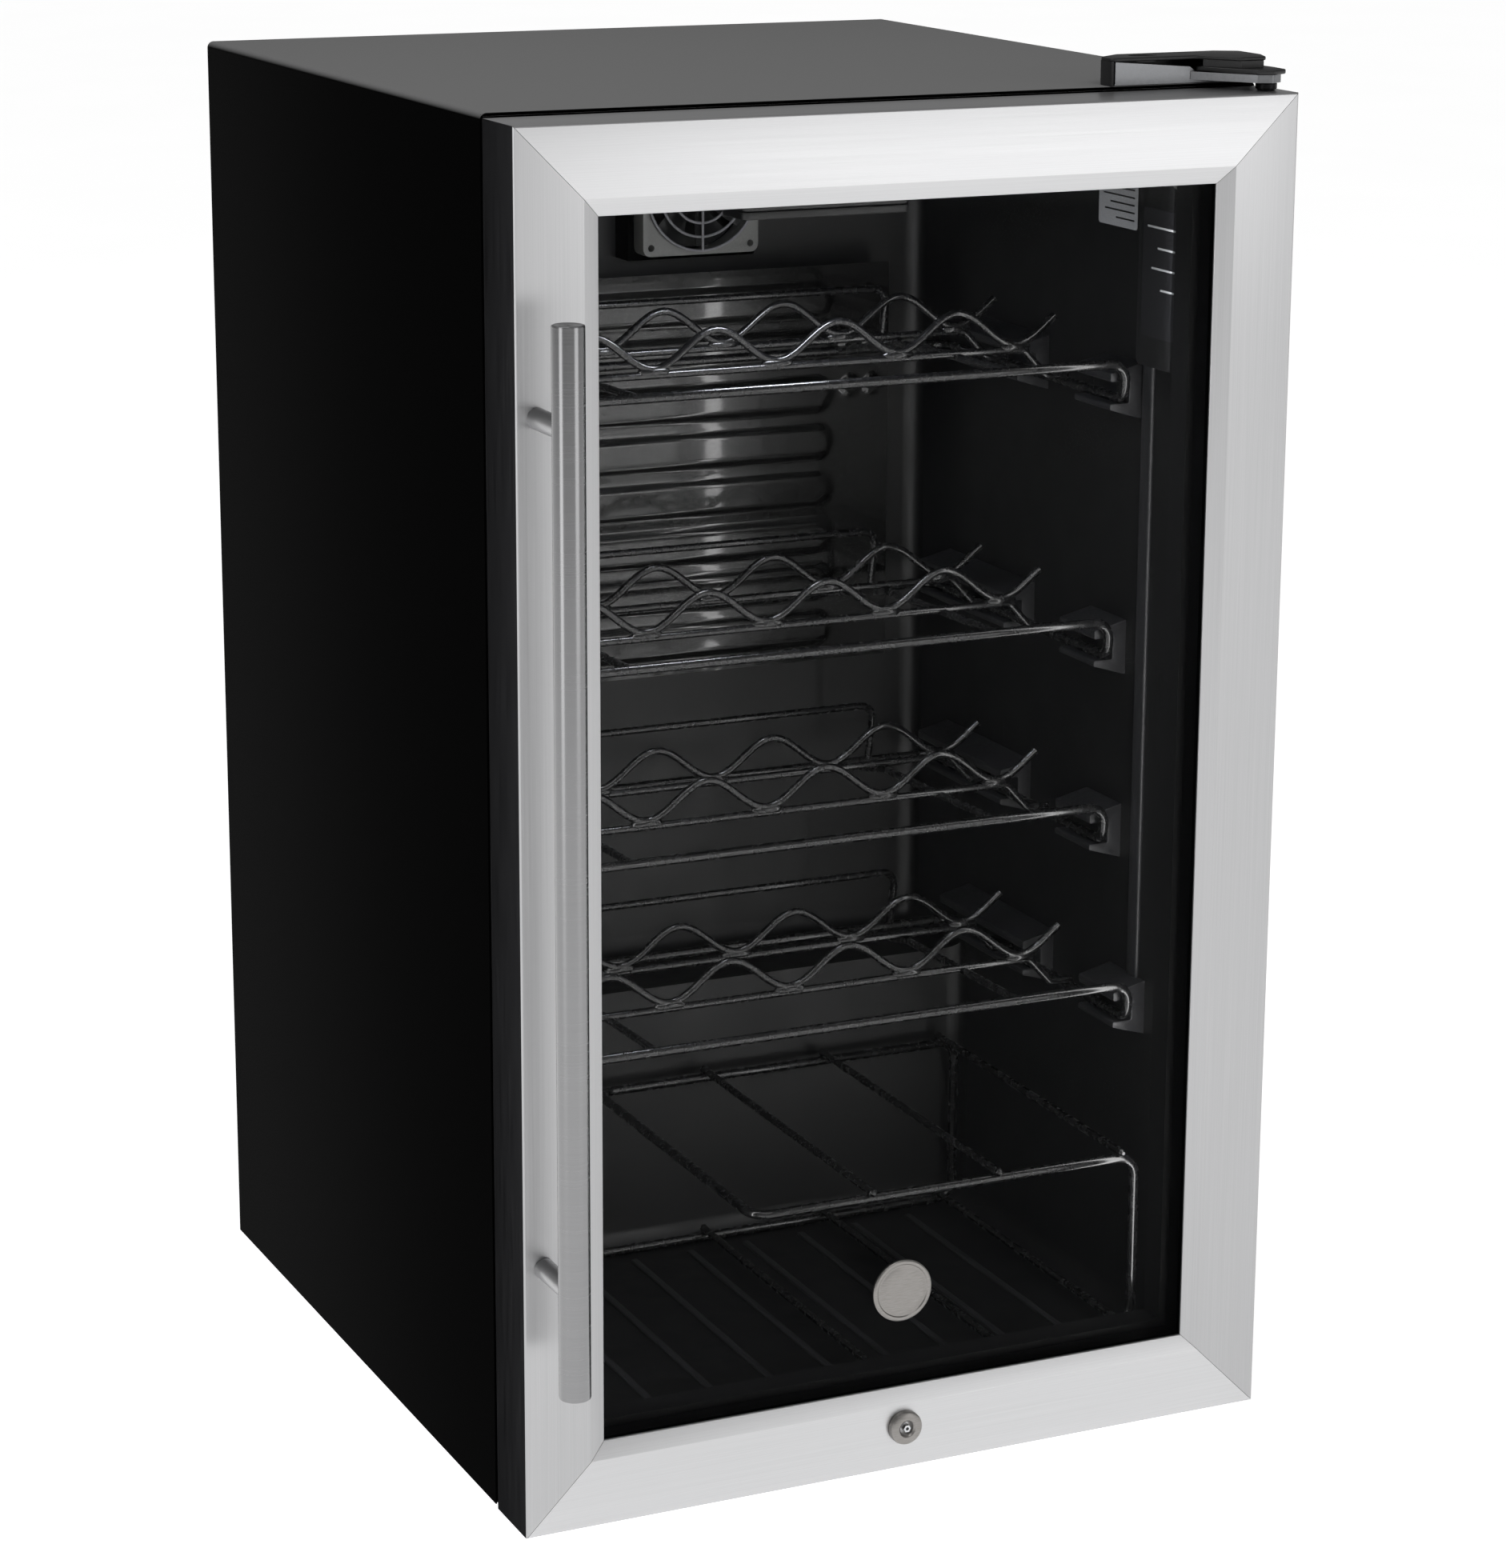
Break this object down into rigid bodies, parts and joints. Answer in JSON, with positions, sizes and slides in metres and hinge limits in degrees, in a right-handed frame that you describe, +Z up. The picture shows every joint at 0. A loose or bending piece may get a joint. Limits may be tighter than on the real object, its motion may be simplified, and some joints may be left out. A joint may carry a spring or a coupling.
{
  "type": "wine cooler",
  "caption": "Free-standing wine cooler: hinged glass door in a stainless frame, bar handle, key lock, pull-out wire shelves, bottle cradle, circulation fan and compressor.",
  "frame": {"origin": "on the floor, under the middle of the whole cooler's box, which runs from the front of the handle bar to the back of the cabinet", "axes": "+Z up, the door faces -Y, +X to the right of someone facing the door, which is the hinge side"},
  "size_m": [0.48, 0.58, 0.8365],
  "materials": {
    "black_enamel": "satin",
    "zinc_steel": "satin",
    "stainless": "satin",
    "chrome": "polished",
    "liner_plastic": "satin",
    "black_plastic": "satin",
    "grey_plastic": "satin",
    "guard_wire": "satin",
    "foam": "matte",
    "clear_glass": "gloss",
    "black_rubber": "matte",
    "black_spacer": "satin",
    "copper": "satin",
    "coated_wire": "satin",
    "coated_alloy": "gloss",
    "frosted_lens": "satin",
    "display_window": "gloss"
  },
  "bodies": {
    "cabinet": {"cabinet_wrapper": "black_enamel", "front_flange": "black_enamel", "rear_panel": "zinc_steel", "niche_panel": "zinc_steel", "base_pan": "zinc_steel", "foam_insulation": "foam", "inner_liner": "liner_plastic", "evaporator_plate": "coated_alloy", "fan_bracket": "black_enamel", "fan_frame": "grey_plastic", "fan_guard": "guard_wire", "light_housing": "black_plastic", "light_lens": "frosted_lens", "control_box": "black_plastic", "control_display": "display_window", "bottle_cradle": "coated_wire", "compressor": "black_enamel", "terminal_cover": "black_plastic", "drip_tray": "black_plastic", "filter_drier": "copper", "suction_pipe": "copper", "condenser_coil": "black_enamel", "cord_gland": "black_rubber", "top_hinge_bracket": "chrome", "top_hinge_cover": "black_plastic", "top_hinge_pin": "chrome", "lower_hinge_bracket": "zinc_steel", "lower_hinge_pin": "zinc_steel", "lock_strike": "zinc_steel"},
    "door": {"door_rail_top": "stainless", "door_rail_bottom": "stainless", "door_stile_left": "stainless", "door_stile_right": "stainless", "door_core": "black_plastic", "glass_outer": "clear_glass", "glass_spacer": "black_spacer", "glass_inner": "clear_glass", "door_gasket": "black_rubber", "handle_bar": "stainless", "handle_post_upper": "stainless", "handle_post_lower": "stainless", "round_badge": "stainless", "lock_barrel": "chrome", "top_hinge_bush": "black_plastic", "lower_hinge_bush": "black_plastic"},
    "lock": {"lock_plug": "chrome", "lock_cam": "zinc_steel"},
    "fan": {"fan_rotor": "black_plastic"},
    "shelf_1": {"shelf_1": "coated_wire"},
    "shelf_2": {"shelf_2": "coated_wire"},
    "shelf_3": {"shelf_3": "coated_wire"},
    "shelf_4": {"shelf_4": "coated_wire"},
    "button_up": {"button_up": "grey_plastic"},
    "button_down": {"button_down": "grey_plastic"},
    "button_light": {"button_light": "grey_plastic"},
    "foot_front_left": {"foot_front_left": "black_plastic"},
    "foot_front_right": {"foot_front_right": "black_plastic"},
    "foot_rear_left": {"foot_rear_left": "black_plastic"},
    "foot_rear_right": {"foot_rear_right": "black_plastic"}
  },
  "joints": [
    {"name": "door_hinge", "type": "hinge", "parent": "cabinet", "child": "door", "pos_m": [0.229, -0.218, 0.418], "axis": [0, 0, 1], "range_deg": [0, 115]},
    {"name": "lock_turn", "type": "hinge", "parent": "door", "child": "lock", "pos_m": [0, -0.2019, 0.044], "axis": [0, -1, 0], "range_deg": [0, 90]},
    {"name": "fan_spin", "type": "hinge", "parent": "cabinet", "child": "fan", "pos_m": [0.037, 0.1495, 0.729], "axis": [0, 1, 0], "continuous": true},
    {"name": "shelf_1_slide", "type": "slide", "parent": "cabinet", "child": "shelf_1", "axis": [0, -1, 0], "range_m": [0, 0.05]},
    {"name": "shelf_2_slide", "type": "slide", "parent": "cabinet", "child": "shelf_2", "axis": [0, -1, 0], "range_m": [0, 0.06]},
    {"name": "shelf_3_slide", "type": "slide", "parent": "cabinet", "child": "shelf_3", "axis": [0, -1, 0], "range_m": [0, 0.06]},
    {"name": "shelf_4_slide", "type": "slide", "parent": "cabinet", "child": "shelf_4", "axis": [0, -1, 0], "range_m": [0, 0.03]},
    {"name": "button_up_press", "type": "slide", "parent": "cabinet", "child": "button_up", "axis": [1, 0, 0], "range_m": [0, 0.0008], "stiffness_N_per_m": 300},
    {"name": "button_down_press", "type": "slide", "parent": "cabinet", "child": "button_down", "axis": [1, 0, 0], "range_m": [0, 0.0008], "stiffness_N_per_m": 300},
    {"name": "button_light_press", "type": "slide", "parent": "cabinet", "child": "button_light", "axis": [1, 0, 0], "range_m": [0, 0.0008], "stiffness_N_per_m": 300},
    {"name": "foot_front_left_turn", "type": "hinge", "parent": "cabinet", "child": "foot_front_left", "pos_m": [-0.18, -0.141, 0], "axis": [0, 0, 1], "continuous": true},
    {"name": "foot_front_right_turn", "type": "hinge", "parent": "cabinet", "child": "foot_front_right", "pos_m": [0.18, -0.141, 0], "axis": [0, 0, 1], "continuous": true},
    {"name": "foot_rear_left_turn", "type": "hinge", "parent": "cabinet", "child": "foot_rear_left", "pos_m": [-0.18, 0.254, 0], "axis": [0, 0, 1], "continuous": true},
    {"name": "foot_rear_right_turn", "type": "hinge", "parent": "cabinet", "child": "foot_rear_right", "pos_m": [0.18, 0.254, 0], "axis": [0, 0, 1], "continuous": true}
  ]
}
